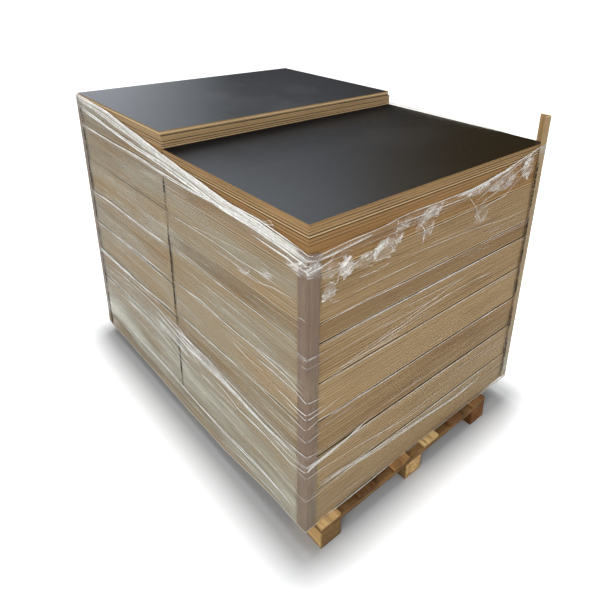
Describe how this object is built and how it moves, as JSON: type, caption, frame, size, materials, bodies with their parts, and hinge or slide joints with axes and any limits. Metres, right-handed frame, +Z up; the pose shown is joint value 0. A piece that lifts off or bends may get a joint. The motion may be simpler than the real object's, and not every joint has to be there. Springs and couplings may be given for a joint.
{
  "type": "pallet of hardboard sheets",
  "caption": "Stacks of hardboard sheets with black-faced tops side by side on a light wooden pallet, held by cardboard edge boards and stretch film.",
  "frame": {"origin": "on the floor, below the centre of the load of sheets", "axes": "+Z up; +Y along the pallet, from the lower stack to the higher one; +X across it, from the side where the sheets overhang least to the side where they overhang most"},
  "size_m": [1.242, 1.738, 1.369],
  "materials": {
    "hardboard": "bare sawn edges of pressed wood fibre",
    "black_faced_board": "semi-gloss black coated face, bare fibre edges",
    "pallet_wood": "rough sawn softwood",
    "edge_board": "laminated grey-brown paperboard",
    "stretch_film": "clear stretch film, white where it is gathered"
  },
  "bodies": {
    "root": {"block_1_1": "pallet_wood", "block_1_2": "pallet_wood", "block_1_3": "pallet_wood", "block_2_1": "pallet_wood", "block_2_2": "pallet_wood", "block_2_3": "pallet_wood", "block_3_1": "pallet_wood", "block_3_2": "pallet_wood", "block_3_3": "pallet_wood", "cross_board_1": "pallet_wood", "cross_board_2": "pallet_wood", "cross_board_3": "pallet_wood", "deck_board_1": "pallet_wood", "deck_board_2": "pallet_wood", "deck_board_3": "pallet_wood", "deck_board_4": "pallet_wood", "deck_board_5": "pallet_wood", "deck_board_6": "pallet_wood", "edge_board_back": "edge_board", "edge_board_left": "edge_board", "edge_board_near": "edge_board", "edge_board_right": "edge_board", "far_bundle_1": "hardboard", "far_bundle_10": "hardboard", "far_bundle_2": "hardboard", "far_bundle_3": "hardboard", "far_bundle_4": "hardboard", "far_bundle_5": "hardboard", "far_bundle_6": "hardboard", "far_bundle_7": "hardboard", "far_bundle_8": "hardboard", "far_bundle_9": "hardboard", "far_top_sheet": "black_faced_board", "near_bundle_1": "hardboard", "near_bundle_2": "hardboard", "near_bundle_3": "hardboard", "near_bundle_4": "hardboard", "near_bundle_5": "hardboard", "near_bundle_6": "hardboard", "near_bundle_7": "hardboard", "near_bundle_8": "hardboard", "near_bundle_9": "hardboard", "near_top_sheet": "black_faced_board", "stretch_film": "stretch_film"}
  },
  "joints": []
}
